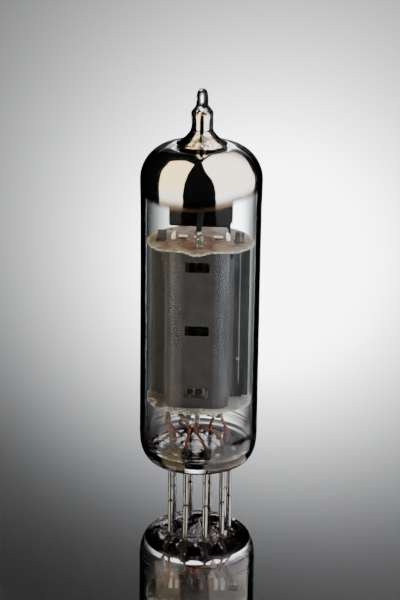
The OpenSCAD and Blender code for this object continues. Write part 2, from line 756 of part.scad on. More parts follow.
// Nickel straps join the electrodes to the sealing wires. Each lies flat against what it is
// welded to, at both of its ends.
STRAP_GRIP = 0.8;
rod_end_z = under_z - rod_below;
function beside(r) = r + strap_t / 2 + weld_gap;
function down(p) = [p + [0, 0, STRAP_GRIP], p];
cage_side = [1, 0, 0];
tab_y = heater_end_y - beside(heater_d / 2);
heater_joint = [-heater_end_x, tab_y - beside(lead_r), under_z - 5.65 * hang];
nickel = [0.8, 0.8, 0.78];
dull_nickel = [0.62, 0.64, 0.6];

module control_grid_strap() {
    color(nickel)
    strap(soften(concat(
        down([-control_rod_x, -beside(control_rod_d / 2), rod_end_z + 0.2]),
        [hung(-3.37, -1.88, 3.25)],
        down(lead_end(2) + [0, beside(lead_r), -STRAP_GRIP])), 0.4), cage_side);
}

module cathode_strap() {
    color(nickel)
    strap(soften(concat(
        down([0.25, -beside(cathode_depth / 2), cathode_low]),
        down(lead_end(3) + [0.1, beside(lead_r), -STRAP_GRIP])), 0.4), cage_side);
}

module screen_grid_strap() {
    color(dull_nickel)
    strap(soften(concat(
        down([-screen_rod_x, beside(screen_rod_d / 2), rod_end_z + 0.2]),
        [hung(-5.74, 1.68, 3.35)],
        down(lead_end(9) + [0, -beside(lead_r), -STRAP_GRIP])), 0.4), cage_side);
}

module anode_strap() {
    color(dull_nickel)
    strap(soften(concat(
        down([lug_x, beside(anode_sheet), under_z - lug_below - STRAP_GRIP / 2]),
        [hung(5.54, 3.17, 2.72)],
        down(lead_end(7) + [0, -beside(lead_r), -STRAP_GRIP])), 0.4), cage_side);
}

// One tab stands between the heater's left end and wire four, and one lies between its right
// end and wire five.
module heater_tabs() {
    end = lead_end(5);
    beside_5 = end[1] - beside(lead_r);
    color(nickel) {
        strap([
            [-heater_end_x, tab_y, heater_end_z + strap_w / 2],
            [-heater_end_x, tab_y, heater_joint[2] - lead_r]], cage_side);
        strap(soften([
            [heater_end_x - strap_w / 5, tab_y, heater_end_z + strap_w / 3],
            [heater_end_x + strap_w / 2, tab_y, heater_end_z + strap_w / 3],
            [end[0] - 0.7 * strap_w, beside_5, end[2] - 0.6 * strap_w],
            [end[0] + 0.3 * strap_w, beside_5, end[2] - 0.6 * strap_w]], 0.3 * strap_w), [0, 0, 1]);
    }
}

glass_bulb();
button_stem();
getter_mirror();
for (i = [1 : 9]) {
    pin(i);
    lead(i);
}
bottom_mica();
top_mica();
anode_front();
anode_back();
cathode_sleeve();
heater();
control_grid_rods();
control_grid_winding();
screen_grid_rods();
screen_grid_winding();
suppressor_grid_rods();
suppressor_grid_winding();
getter_post();
getter_ring();
radiator_plate();
control_grid_strap();
cathode_strap();
screen_grid_strap();
anode_strap();
heater_tabs();
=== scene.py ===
from math import cos, pi, radians, sin

import bpy
from mathutils import Euler, Matrix, Vector, noise


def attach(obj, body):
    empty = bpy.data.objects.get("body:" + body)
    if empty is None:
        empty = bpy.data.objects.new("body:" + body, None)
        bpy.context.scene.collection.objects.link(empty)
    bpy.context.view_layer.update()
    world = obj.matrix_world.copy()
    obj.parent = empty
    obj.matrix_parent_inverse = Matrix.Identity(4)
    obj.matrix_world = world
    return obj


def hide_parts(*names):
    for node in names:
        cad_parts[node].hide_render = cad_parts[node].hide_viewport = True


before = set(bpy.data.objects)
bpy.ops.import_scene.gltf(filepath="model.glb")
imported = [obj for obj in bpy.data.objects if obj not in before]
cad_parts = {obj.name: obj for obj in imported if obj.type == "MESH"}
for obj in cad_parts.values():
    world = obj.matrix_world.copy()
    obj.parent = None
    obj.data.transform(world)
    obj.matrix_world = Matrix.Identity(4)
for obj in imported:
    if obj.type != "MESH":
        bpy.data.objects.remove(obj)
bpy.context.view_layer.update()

# The glass envelope: a blown bulb with its sealed exhaust stub on top, fused at the seam to the
# pressed button stem. The pins and their sealing wires are melted into it, so it is one clear body
# with an empty inside.

MM = 0.001
PINS = range(1, 10)
PIN_CIRCLE_R = 11.89 / 2
BULB_R, BORE_R, DOME_TOP_R, FLARE_R, STUB_R, STUB_BORE = 11.0, 10.1, 4.6, 4.1, 2.02, 1.25
TABLE_Z, SEAM_Z, SHOULDER_Z, FLARE_Z, STUB_Z, NIB_Z = 10.3, 13.0, 61.5, 68.5, 70.7, 73.0


def pin_place(number):
    """Middle of a pin: nine of ten even places, the empty one facing -X."""
    turn = pi + number * pi / 5
    return PIN_CIRCLE_R * cos(turn), PIN_CIRCLE_R * sin(turn)


def clamped(share):
    """A share kept between 0 and 1."""
    return min(1, max(0, share))


def rounded(width, height, power, count):
    """A quarter of a rounded corner, from its full width to its full height."""
    turns = [pi / 2 * i / count for i in range(count)]
    return [(width * cos(a) ** (2 / power), height * sin(a) ** (2 / power)) for a in turns] + [(0, height)]


def straight_wall(radius):
    """The rings of the bulb's straight wall, which swells a little towards the shoulder."""
    return [(radius, z) for z in range(20, 56, 5)] + [(radius + 0.02, 57.0), (radius + 0.08, 59.0)]


def dome(width, height, count):
    """The rings of the dome, from the shoulder in to its nearly flat top."""
    return [(DOME_TOP_R + r, SHOULDER_Z + h) for r, h in rounded(width, height, 2, count)]


def flare(foot, top):
    """The rings between the foot of the flare on the dome and its top, where the stub starts."""
    width, height = foot[0] - top[0], top[1] - foot[1]
    return [(foot[0] - r, top[1] - h) for r, h in rounded(width, height, 1.26, 8)][1:-1][::-1]


def pick(*pieces):
    """Selects these pieces alone and makes the last of them active."""
    bpy.ops.object.select_all(action="DESELECT")
    for piece in pieces:
        piece.select_set(True)
        bpy.context.view_layer.objects.active = piece


def turned_shell(name, rings, closed=True, sides=96):
    """A shell drawn up ring by ring about the tube's axis; each ring is a radius and a height."""
    bpy.ops.object.select_all(action="DESELECT")
    radius, height = rings[0]
    bpy.ops.mesh.primitive_circle_add(vertices=sides, radius=radius * MM, location=(0, 0, height * MM),
                                      fill_type="TRIFAN" if closed else "NOTHING")
    shell = bpy.context.object
    shell.name = name
    bpy.ops.object.transform_apply(location=True)
    bpy.ops.object.mode_set(mode="EDIT")
    bpy.ops.mesh.select_mode(type="EDGE")
    bpy.ops.mesh.select_all(action="DESELECT")
    bpy.ops.mesh.select_non_manifold()
    for next_radius, next_height in rings[1:]:
        bpy.ops.mesh.extrude_region_move(
            TRANSFORM_OT_translate={"value": (0, 0, (next_height - height) * MM)})
        spread = next_radius / radius
        bpy.ops.transform.resize(value=(spread, spread, 1), center_override=(0, 0, next_height * MM))
        radius, height = next_radius, next_height
    if closed:
        bpy.ops.mesh.merge(type="COLLAPSE")
    bpy.ops.mesh.select_all(action="SELECT")
    bpy.ops.mesh.normals_make_consistent(inside=False)
    bpy.ops.object.mode_set(mode="OBJECT")
    bpy.ops.object.shade_smooth()
    return shell


def smoothed(piece, levels):
    """Subdivides a piece and keeps the result as its mesh."""
    softer = piece.modifiers.new("softer", "SUBSURF")
    softer.levels = softer.render_levels = levels
    bpy.context.view_layer.objects.active = piece
    bpy.ops.object.modifier_apply(modifier=softer.name)


underside = [(1.5, 7.45), (4.0, 7.44), (4.15, 7.36), (4.3, 7.22), (4.6, 7.2), (6.0, 7.2), (7.0, 7.2)]
heel = [(7.25 + r, SEAM_Z - h) for r, h in rounded(3.75, 5.8, 2.4, 12)][::-1]
seam = [(11.02, 13.3), (BULB_R, 13.7), (BULB_R, 15.5)]
dome_out = dome(6.54, 6.6, 14) + [(4.5, 68.17), (4.2, 68.41)]
flare_out = [(FLARE_R, FLARE_Z)] + flare((FLARE_R, FLARE_Z), (STUB_R, STUB_Z))
stub = [(STUB_R, STUB_Z), (STUB_R, 71.5), (STUB_R, 73.5)]
nib = [(1.95, 73.9), (1.65, 74.35), (1.25, 74.8), (1.12, 75.2), (1.08, 76.1),
       (1.04, 76.9), (0.95, 77.4), (0.75, 77.8), (0.45, 78.03), (0.2, 78.1)]
outside = underside + heel + seam + straight_wall(BULB_R) + dome_out + flare_out + stub + nib

table = [(0.3 + 0.35 * i, TABLE_Z) for i in range(20)] + [(7.2, TABLE_Z - 0.02)]
gutter = [(7.45, 10.22), (7.65, 10.02), (7.85, 9.72), (8.3, 9.53), (8.9, 9.5), (9.3, 9.7), (9.65, 10.2),
          (9.88, 10.9), (10.0, 11.6), (10.06, 12.3), (BORE_R, 13.2), (BORE_R, 15.0)]
dome_in = dome(5.64, 5.6, 12) + [(4.1, 67.16), (3.92, 67.22), (3.8, 67.38)]
flare_in = flare((3.74, 67.5), (STUB_BORE, 70.2)) + [(STUB_BORE, 70.2), (STUB_BORE, 71.5)]
sealed_end = [(STUB_BORE, 73.6), (1.15, 74.2), (0.85, 74.65), (0.45, 74.9), (0.15, 74.95)]
inside = table + gutter + straight_wall(BORE_R) + dome_in + flare_in + sealed_end

envelope = turned_shell("envelope", outside)
hollow = turned_shell("hollow", inside)

# A mound of glass rises from the table round each wire.
MOUND_R, MOUND_RISE, MOUND_SLOPE = 1.6, 0.9, 0.95
for number in PINS:
    px, py = pin_place(number)
    for v in hollow.data.vertices:
        reach = Vector((v.co.x - px * MM, v.co.y - py * MM)).length / MM
        if reach < MOUND_R and v.co.z < 11 * MM:
            part = clamped((MOUND_R - reach) / MOUND_SLOPE)
            v.co.z += MOUND_RISE * MM * part * part * (3 - 2 * part)
bpy.ops.object.mode_set(mode="EDIT")
bpy.ops.mesh.select_all(action="SELECT")
bpy.ops.mesh.flip_normals()
bpy.ops.object.mode_set(mode="OBJECT")

pick(hollow, envelope)
bpy.ops.object.join()
smoothed(envelope, 1)

# The end of the stub is lumpy where it was melted off, most at the neck of its nib.
NECK_Z, TIP_Z = 75.6, 77.6
for v in envelope.data.vertices:
    height = v.co.z / MM
    if height > NIB_Z and v.co.xy.length > 0.9 * MM * clamped(TIP_Z - height):
        lumps = clamped((height - NIB_Z) / 1.2) * (1.6 if height < NECK_Z else 0.8)
        v.co.xy *= 1 + 0.11 * lumps * noise.noise(v.co * 1.1 / MM)


class Value:
    """A value or a colour in a finish. Sums and products of values add their Math nodes."""

    def __init__(self, finish, node, output):
        self.finish, self.node, self.socket = finish, node, node.outputs[output]

    def math(self, operation, first, second):
        return self.finish.node("ShaderNodeMath", {"operation": operation}, {0: first, 1: second})

    def __add__(self, other):
        return self.math("ADD", self, other)

    def __radd__(self, other):
        return self.math("ADD", other, self)

    def __sub__(self, other):
        return self.math("SUBTRACT", self, other)

    def __rsub__(self, other):
        return self.math("SUBTRACT", other, self)

    def __mul__(self, other):
        return self.math("MULTIPLY", self, other)

    def __rmul__(self, other):
        return self.math("MULTIPLY", other, self)

    def __pow__(self, other):
        return self.math("POWER", self, other)

    def least(self, other):
        return self.math("MINIMUM", self, other)

    def most(self, other):
        return self.math("MAXIMUM", self, other)

    def step(self, low, high):
        """0 below low, 1 above high, and smooth between them."""
        return self.finish.node("ShaderNodeMapRange", {"interpolation_type": "SMOOTHSTEP"},
                                {"Value": self, "From Min": low, "From Max": high})


class Finish:
    """A finish made node by node, on the piece's own coordinates in millimetres."""

    def __init__(self, name):
        self.material = bpy.data.materials.new(name)
        self.material.use_nodes = True
        self.tree = self.material.node_tree
        self.tree.nodes.clear()
        self.place = self.node("ShaderNodeVectorMath", {"operation": "SCALE"},
                               {0: self.node("ShaderNodeTexCoord", output="Object"), "Scale": 1 / MM})
        split = self.node("ShaderNodeSeparateXYZ", inputs={0: self.place}).node
        self.x, self.y, self.z = (Value(self, split, i) for i in range(3))

    def node(self, kind, settings=None, inputs=None, output=0):
        """A node of a kind, given its settings and then the values or links of its sockets."""
        made = self.tree.nodes.new(kind)
        for key, setting in (settings or {}).items():
            setattr(made, key, setting)
        for key, value in (inputs or {}).items():
            if isinstance(value, Value):
                self.tree.links.new(value.socket, made.inputs[key])
            else:
                made.inputs[key].default_value = value
        return Value(self, made, output)

    def from_axis(self):
        """The distance from the tube's axis."""
        return (self.x * self.x + self.y * self.y) ** 0.5

    def noise(self, size, detail=4.0, roughness=0.55, stretch=(1, 1, 1)):
        """Cloudy variation whose patches are about size millimetres across."""
        spot = self.node("ShaderNodeVectorMath", {"operation": "MULTIPLY"}, {0: self.place, 1: stretch})
        return self.node("ShaderNodeTexNoise", inputs={
            "Vector": spot, "Scale": 1 / size, "Detail": detail, "Roughness": roughness})

    def mixed(self, factor, first, second):
        """A colour between two. The node's colours are its sockets 6 and 7 and its output 2."""
        return self.node("ShaderNodeMix", {"data_type": "RGBA"}, {0: factor, 6: first, 7: second}, 2)

    def blended(self, factor, first, second):
        """A shader between two."""
        return self.node("ShaderNodeMixShader", inputs={0: factor, 1: first, 2: second})

    def bump(self, height, distance):
        """Relief of a height in millimetres."""
        return self.node("ShaderNodeBump", inputs={"Height": height, "Distance": distance * MM})

    def surface(self, **sockets):
        """The shader on the surface. A socket's name is given with underscores for its blanks."""
        inputs = {key.replace("_", " "): value for key, value in sockets.items()}
        return self.show(self.node("ShaderNodeBsdfPrincipled", inputs=inputs))

    def show(self, shader):
        end = self.tree.nodes.new("ShaderNodeOutputMaterial")
        self.tree.links.new(shader.socket, end.inputs["Surface"])
        return self.material


def rgb(red, green, blue):
    return red, green, blue, 1.0


# Ring lines run round the heel, the table is pebbled, and the base is tinted dark: painted shade.
GLASS_IOR = 1.5
CLEAR, BASE_SHADE, UNDERSIDE_SHADE = rgb(0.97, 0.98, 0.98), rgb(0.68, 0.66, 0.66), rgb(0.30, 0.29, 0.30)
glass = Finish("clear_glass")
from_axis = glass.from_axis()
ring_lines = (
    glass.noise(1.3, 2, 0.5, (0.03, 0.03, 1)) * glass.z.step(SEAM_Z + 1.5, SEAM_Z)
    * glass.z.step(8.6, 9.6) * from_axis.step(8.6, 9.4))
pebbles = (
    glass.noise(1.0, 3, 0.6) * glass.z.step(SEAM_Z + 0.5, SEAM_Z - 0.5)
    * glass.z.step(9.0, 9.8) * from_axis.step(9.0, 8.2))
waves = glass.bump(glass.noise(6, 2, 0.4, (1, 1, 0.35)) + ring_lines * 5 + pebbles * 4, 0.03)
# Where the glass is tinted darker: painted shade on the thick base, and more on its underside.
shaded_base = glass.z.step(SEAM_Z + 7, SEAM_Z - 2)
shaded_underside = glass.z.step(9.2, 8.2)


def refracting(colour):
    """Glass that bends what is seen through it and mirrors nothing."""
    return glass.node("ShaderNodeBsdfRefraction", inputs={
        "Color": colour, "Roughness": 0.0, "IOR": GLASS_IOR, "Normal": waves})


tint = glass.mixed(shaded_base, CLEAR, glass.mixed(shaded_underside, BASE_SHADE, UNDERSIDE_SHADE))
mirroring = glass.node("ShaderNodeBsdfPrincipled", inputs={
    "Base Color": tint, "Roughness": 0.0, "IOR": GLASS_IOR, "Transmission Weight": 1.0, "Normal": waves})
bare_base = glass.blended(shaded_underside, refracting(BASE_SHADE), refracting(UNDERSIDE_SHADE))
unmirroring = glass.blended(shaded_base, refracting(CLEAR), bare_base)
unmirrored_share = 0.87 + shaded_underside * 0.1 - shaded_base * (1 - shaded_underside) * 0.4
seen_glass = glass.blended(unmirrored_share, mirroring, unmirroring)
shadow_glass = glass.node("ShaderNodeBsdfTransparent", inputs={"Color": CLEAR})
glass.show(glass.blended(
    glass.node("ShaderNodeLightPath", output="Is Shadow Ray"), seen_glass, shadow_glass))
envelope.data.materials.append(glass.material)
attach(envelope, "root")
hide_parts("glass_bulb", "button_stem")

# The getter's mirror: metal evaporated on the inside of the dome. It is silvery above the bulb's
# shoulder and mottled brown in the flare, and it thins out to a brown edge below the shoulder. The
# back of the dome's top is painted dark: painted shade that dims the mirror there.

FILM_GAP, FILM_SKIN = 0.03, 0.03
glass_behind = [(10.14, 57.4), (10.17, 58.8), (10.2, 60.2)] + dome_in + flare_in + [(STUB_BORE, 73.4)]
film_rings = [(r - FILM_GAP, z - (FILM_GAP if z > SHOULDER_Z + 0.5 else 0)) for r, z in glass_behind]
mirror_film = turned_shell("mirror_film", film_rings, closed=False)
smoothed(mirror_film, 1)
skin = mirror_film.modifiers.new("skin", "SOLIDIFY")
skin.thickness, skin.offset = FILM_SKIN * MM, -1
bpy.ops.object.modifier_apply(modifier=skin.name)

SILVER, PAINTED_DARK, STAINED = rgb(0.94, 0.87, 0.79), rgb(0.03, 0.028, 0.027), rgb(0.12, 0.085, 0.07)
THIN_BROWN = rgb(0.16, 0.10, 0.06)
film = Finish("getter_film")
ragged = film.noise(3, 5, 0.6) - 0.5
edge = film.z + ragged * 0.8 - film.x * 0.07 - film.x * film.x * 0.009
cover = edge.step(57.9, 59.6)
# Painted shade: the back of the dome's top is darkened, which dims its mirror.
painted_shade_part = film.y.step(-5.0, -1.5) * film.z.step(64.4, 66.2) * film.z.step(67.25, 66.95)
in_flare = film.z.step(66.9, 67.2) * film.z.step(70.4, 69.6)
blotch = film.noise(0.9, 4, 0.65)
metal = film.mixed(painted_shade_part * 0.93, SILVER, PAINTED_DARK)
metal = film.mixed(in_flare * blotch.step(0.57, 0.45) * 0.92, metal, STAINED)
film.surface(
    Base_Color=film.mixed(edge.step(58.8, 60.6), THIN_BROWN, metal),
    Metallic=1.0, Specular_Tint=rgb(0.45, 0.45, 0.45), Roughness=0.03 + (1 - cover) * 0.25 + in_flare * 0.06,
    Alpha=cover, Normal=film.bump(film.noise(2.2, 3, 0.5) + in_flare * blotch * 5, 0.02))
mirror_film.data.materials.append(film.material)
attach(mirror_film, "root")
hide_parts("getter_mirror")

# The nine pins: stiff nickel wire with rounded lower ends, drawn bright and a little tarnished and
# scuffed from being pushed into sockets. Each tapers in the glass to its sealing wire.

PIN_R, PIN_TIP = 0.508, 0.42
nickel_wire = Finish("pin_nickel")
tarnish = nickel_wire.noise(0.9, 5, 0.65, (1, 1, 0.5)).step(0.52, 0.72)
scuffs = nickel_wire.noise(0.12, 3, 0.6, (1, 1, 0.08))
nickel_wire.surface(
    Base_Color=nickel_wire.mixed(tarnish, rgb(0.23, 0.24, 0.255), rgb(0.08, 0.08, 0.08)),
    Metallic=1.0, Roughness=0.12 + tarnish * 0.3 + scuffs * 0.1, Normal=nickel_wire.bump(scuffs, 0.01))

round_tip = [(PIN_R * sin(a), PIN_TIP - PIN_TIP * cos(a)) for a in map(radians, range(8, 98, 10))]
pin_rings = round_tip + [(PIN_R, z) for z in (0.6, 3.5, 7.0, 7.2)] + [(0.42, 7.45), (0.31, 7.7)]
first_pin = turned_shell("pin_wire_1", pin_rings, sides=32)
for number in PINS:
    pin_wire = first_pin.copy()
    pin_wire.data = first_pin.data.copy()
    bpy.context.collection.objects.link(pin_wire)
    pin_wire.name = f"pin_wire_{number}"
    px, py = pin_place(number)
    pin_wire.data.transform(Matrix.Translation((px * MM, py * MM, 0)))
    pin_wire.data.materials.append(nickel_wire.material)
    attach(pin_wire, "root")
    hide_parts(f"pin_{number}")
bpy.data.objects.remove(first_pin)

# The sealing wires: copper-clad wires welded to the pins' upper ends. They are drawn dark inside
# the glass, and oxidised red above it, where they bend over to the straps.


def dressed(node, name, material, rounding=0.0, levels=0, angle=40):
    """A copy of a node's solid with merged points, eased edges and smooth shading, in its place."""
    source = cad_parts[node]
    piece = bpy.data.objects.new(name, source.data.copy())
    bpy.context.collection.objects.link(piece)
    piece.data.materials.clear()
    piece.data.materials.append(material)
    pick(piece)
    bpy.ops.object.mode_set(mode="EDIT")
    bpy.ops.mesh.select_all(action="SELECT")
    bpy.ops.mesh.remove_doubles(threshold=0.0005 * MM)
    bpy.ops.mesh.customdata_custom_splitnormals_clear()
    bpy.ops.mesh.tris_convert_to_quads(face_threshold=radians(1), shape_threshold=radians(60))
    bpy.ops.object.mode_set(mode="OBJECT")
    if levels:
        smoothed(piece, levels)
    if rounding:
        eased = piece.modifiers.new("eased", "BEVEL")
        eased.width, eased.segments = rounding * MM, 2
        eased.limit_method, eased.angle_limit = "ANGLE", radians(50)
        bpy.ops.object.modifier_apply(modifier=eased.name)
    bpy.ops.object.shade_smooth_by_angle(angle=radians(angle))
    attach(piece, "root")
    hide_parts(node)
    return piece


red_wire = Finish("sealing_wire")
scale = red_wire.noise(0.5, 4, 0.6).step(0.4, 0.65)
oxide = red_wire.mixed(scale, rgb(0.10, 0.028, 0.018), rgb(0.27, 0.095, 0.055))
in_glass = red_wire.z.step(12.6, 11.2)
red_wire.surface(
    Base_Color=red_wire.mixed(in_glass, oxide, rgb(0.045, 0.028, 0.028)),
    Metallic=0.4, Roughness=0.35 + scale * 0.2, Normal=red_wire.bump(red_wire.noise(0.15), 0.02))
for number in PINS:
    dressed(f"lead_{number}", f"sealing_wire_{number}", red_wire.material, levels=1, angle=70)

# The two micas: sheets cleaved and stamped from natural mica, which hold every electrode and touch
# the glass at a few points. Their cut edges flake, getter metal has browned the upper one, and the
# lower one is painted lighter towards +X and in patches: painted light.


def rim_points(mesh):
    """The points of a flat sheet's outer edge: those of the side faces that join up round it."""
    sides = [set(face.vertices) for face in mesh.polygons if abs(face.normal.z) < 0.8]
    found = {max(range(len(mesh.vertices)), key=lambda i: mesh.vertices[i].co.xy.length)}
    while True:
        joined = set().union(*[side for side in sides if side & found])
        if joined <= found:
            return found
        found |= joined


HALVINGS, EDGE_STEP = 6, 0.5


def chipped(sheet, depth):
    """Halves the long lines of the outer edge and makes it ragged. The attribute "rim" is 1 on it."""
    pick(sheet)
    mesh = sheet.data
    for _ in range(HALVINGS):
        bpy.ops.object.mode_set(mode="EDIT")
        bpy.ops.mesh.select_mode(type="EDGE")
        bpy.ops.mesh.select_all(action="DESELECT")
        bpy.ops.object.mode_set(mode="OBJECT")
        rim = rim_points(mesh)
        for line in mesh.edges:
            ends = [mesh.vertices[i].co for i in line.vertices]
            level = abs(ends[0].z - ends[1].z) < 0.01 * MM
            long = (ends[0] - ends[1]).length > EDGE_STEP * MM
            line.select = level and long and rim.issuperset(line.vertices)
        bpy.ops.object.mode_set(mode="EDIT")
        bpy.ops.mesh.subdivide(number_cuts=1)
        bpy.ops.object.mode_set(mode="OBJECT")
    rim = rim_points(mesh)
    for i in rim:
        spot = mesh.vertices[i].co
        chip = noise.noise(Vector((spot.x, spot.y, spot.z * 0.7)) * 1.9 / MM) + 0.5
        spot.xy -= spot.xy.normalized() * depth * MM * clamped(chip)
    bpy.ops.object.shade_flat()
    mark = mesh.attributes.new("rim", "FLOAT", "POINT")
    mark.data.foreach_set("value", [float(i in rim) for i in range(len(mesh.vertices))])


def flaked(finish, grain, spread, near, along):
    """1 where the edge has flaked: by the grain near the rim, and in patches along the cut itself."""
    rim = finish.node("ShaderNodeAttribute", {"attribute_name": "rim"}, output="Fac")
    near_rim = (rim * 1.4 + (grain - 0.5) * spread).step(*near)
    return near_rim.most(rim.step(0.95, 1.0) * grain.step(*along))


mica = Finish("mica")
flakes = mica.noise(2.2, 6, 0.65)
grain = mica.noise(0.7, 5, 0.7)
# Painted light: the lower sheet is drawn lighter towards +X and in patches.
painted_light_side = (mica.x * 0.1 + flakes - 0.2).step(0.0, 0.6)
sheet_grey = mica.mixed(painted_light_side, rgb(0.052, 0.049, 0.048), rgb(0.17, 0.18, 0.19))
chips = flaked(mica, grain, 5, near=(1.2, 1.5), along=(0.45, 0.52))
mica.surface(Base_Color=mica.mixed(chips, sheet_grey, rgb(0.36, 0.37, 0.38)),
             Roughness=0.3 + grain * 0.3, Normal=mica.bump(grain, 0.05))
chipped(dressed("bottom_mica", "lower_mica", mica.material), 0.2)

browned = Finish("browned_mica")
speckle = browned.noise(0.6, 6, 0.8)
patches = browned.noise(1.6, 5, 0.6).step(0.38, 0.62)
tan = browned.mixed(patches, rgb(0.10, 0.056, 0.038), rgb(0.25, 0.17, 0.125))
pale = browned.mixed(patches, rgb(0.10, 0.08, 0.068), rgb(0.23, 0.195, 0.17))
outer_part = (browned.from_axis() + (speckle - 0.5) * 4).step(5.0, 8.5)
flecks = (speckle - 0.5).step(0.1, 0.25)
flecked = browned.mixed(flecks * 0.6, browned.mixed(outer_part, tan, pale), rgb(0.42, 0.35, 0.28))
browned_chips = flaked(browned, speckle, 6, near=(1.25, 1.6), along=(0.46, 0.54))
browned.surface(Base_Color=browned.mixed(browned_chips, flecked, rgb(0.50, 0.46, 0.43)),
                Roughness=0.4 + speckle * 0.3, Normal=browned.bump(speckle, 0.1))
chipped(dressed("top_mica", "upper_mica", browned.material), 0.25)

# The anode: two halves pressed from nickel sheet, coated dull grey with carbon so that they shed
# heat, with windows in the flat faces and lugs through both micas. Spot welds join the wings, and
# one is bare, light metal. A light line along the right wing's crease is a painted highlight.

CREASE_X, WELD_X, WELD_Z = 7.3, 7.15, 27.6
carbon = Finish("anode_carbon")
mottle = carbon.noise(2.5, 5, 0.6)
tooth = carbon.noise(0.12, 3, 0.7)
streaks = carbon.noise(1.2, 3, 0.5, (1, 1, 0.12))
uneven = (mottle * 0.6 + streaks * 0.4).step(0.3, 0.7)
coat = carbon.mixed(uneven, rgb(0.017, 0.017, 0.018), rgb(0.034, 0.034, 0.036))
off_crease = carbon.x - CREASE_X + (streaks - 0.5) * 0.1
# A painted highlight: a light line along the right wing's crease.
crease_highlight = (off_crease * off_crease).step(0.012, 0.002) * carbon.z.step(22, 24) * (streaks * 2).least(1.0)
off_weld = (carbon.x - WELD_X) ** 2.0 + (carbon.z - WELD_Z) ** 2.0 + (tooth - 0.5) * 0.2
# Light where the one weld is bare, and along the crease's painted highlight.
bare = crease_highlight.most(off_weld.step(0.16, 0.05))
carbon.surface(
    Base_Color=carbon.mixed(bare * 0.8, coat, rgb(0.30, 0.29, 0.28)), Metallic=0.0,
    Specular_Tint=rgb(0.78, 0.88, 1.0), Roughness=0.39 + streaks * 0.08, Normal=carbon.bump(mottle, 0.02))
for half in ("front", "back"):
    dressed(f"anode_{half}", f"anode_{half}_half", carbon.material, rounding=0.03, angle=35)

# The cathode: an oval nickel sleeve that stands in both micas. In it is the heater, a tungsten wire
# folded up and down, whose baked white coating shows below the lower mica.

bare_nickel = Finish("bare_nickel")
dull_part = bare_nickel.noise(1.1, 5, 0.6).step(0.4, 0.7)
bare_nickel.surface(
    Base_Color=bare_nickel.mixed(dull_part, rgb(0.66, 0.65, 0.62), rgb(0.42, 0.40, 0.38)),
    Metallic=1.0, Roughness=0.25 + dull_part * 0.2, Normal=bare_nickel.bump(bare_nickel.noise(0.2), 0.015))
dressed("cathode_sleeve", "cathode", bare_nickel.material)

alumina = Finish("heater_coating")
chalk = alumina.noise(0.12, 4, 0.7)
alumina.surface(Base_Color=alumina.mixed(chalk, rgb(0.82, 0.81, 0.78), rgb(0.95, 0.94, 0.92)),
                Roughness=0.8, Normal=alumina.bump(chalk, 0.03))
dressed("heater", "heater_wire", alumina.material, levels=1, angle=70)

# The three grids: copper side rods in the control grid and nickel ones in the others, each pair
# wound with fine wire. The rods stand in both micas. The screen grid's are bent over on the upper
# one, and the suppressor grid's are cut off aslant above it.

rod_copper = Finish("rod_copper")
tinge = rod_copper.noise(0.8, 4)
rod_copper.surface(Base_Color=rod_copper.mixed(tinge, rgb(0.55, 0.27, 0.15), rgb(0.72, 0.42, 0.28)),
                   Metallic=1.0, Roughness=0.25 + tinge * 0.15)
dressed("control_grid_rods", "control_rods", rod_copper.material)

rod_nickel = Finish("rod_nickel")
brushed = rod_nickel.noise(0.5, 4, 0.6)
# Painted shade: a dark band on the rods just above the upper mica, under their bent-over ends.
painted_shade_band = rod_nickel.z.step(50.25, 50.3) * rod_nickel.z.step(50.85, 50.6)
# The near-white tone is a painted highlight on the rods.
painted_highlight_tone = rod_nickel.mixed(brushed, rgb(0.86, 0.83, 0.79), rgb(0.96, 0.94, 0.91))
rod_nickel.surface(Base_Color=rod_nickel.mixed(painted_shade_band, painted_highlight_tone, rgb(0.06, 0.05, 0.045)),
                   Metallic=0.35, Roughness=0.3 + brushed * 0.2)
dressed("screen_grid_rods", "screen_rods", rod_nickel.material)

# The suppressor rods are drawn near white: painted glints on their slanted ends.
glint_painted_nickel = Finish("glint_painted_nickel")
glint_patches = glint_painted_nickel.noise(0.5, 4)
glint_painted_nickel.surface(Base_Color=glint_painted_nickel.mixed(glint_patches, rgb(0.88, 0.86, 0.82), rgb(0.97, 0.96, 0.94)),
                   Metallic=0.2, Roughness=0.35)
dressed("suppressor_grid_rods", "suppressor_rods", glint_painted_nickel.material)

fine_wire = Finish("grid_wire")
gleam = fine_wire.noise(0.4, 3)
fine_wire.surface(Base_Color=fine_wire.mixed(gleam, rgb(0.45, 0.42, 0.38), rgb(0.68, 0.65, 0.6)),
                  Metallic=1.0, Roughness=0.2 + gleam * 0.1)
for grid in ("control", "screen", "suppressor"):
    dressed(f"{grid}_grid_winding", f"{grid}_winding", fine_wire.material, levels=1, angle=70)

# The getter: a channel bent to a ring, which held the metal until it was flashed, welded on a post
# that stands in the upper mica. The heat has darkened both. The bracket at the post's foot has light
# spots that are welds and painted highlights both.

post_steel = Finish("darkened_steel")
haze = post_steel.noise(1.5, 4, 0.6)
darkened = post_steel.mixed(haze, rgb(0.010, 0.010, 0.011), rgb(0.035, 0.034, 0.033))
# Light spots on the bracket: welds, and painted highlights too.
welds_and_glints = post_steel.noise(0.55, 3, 0.6).step(0.53, 0.6)
welded_and_glinting = post_steel.mixed(welds_and_glints, rgb(0.07, 0.067, 0.065), rgb(0.7, 0.68, 0.65))
bracket = post_steel.z.step(53.6, 53.2)
post_steel.surface(
    Base_Color=post_steel.mixed(bracket, darkened, welded_and_glinting), Metallic=0.9 - bracket * 0.8,
    Roughness=0.35 + haze * 0.2, Normal=post_steel.bump(post_steel.noise(0.2), 0.02))
dressed("getter_post", "getter_stand", post_steel.material, rounding=0.05)
dressed("getter_ring", "getter_channel", post_steel.material, rounding=0.03)

# The radiator plate: nickel sheet blackened all over with carbon, which stands behind the getter's
# post on one narrow leg.

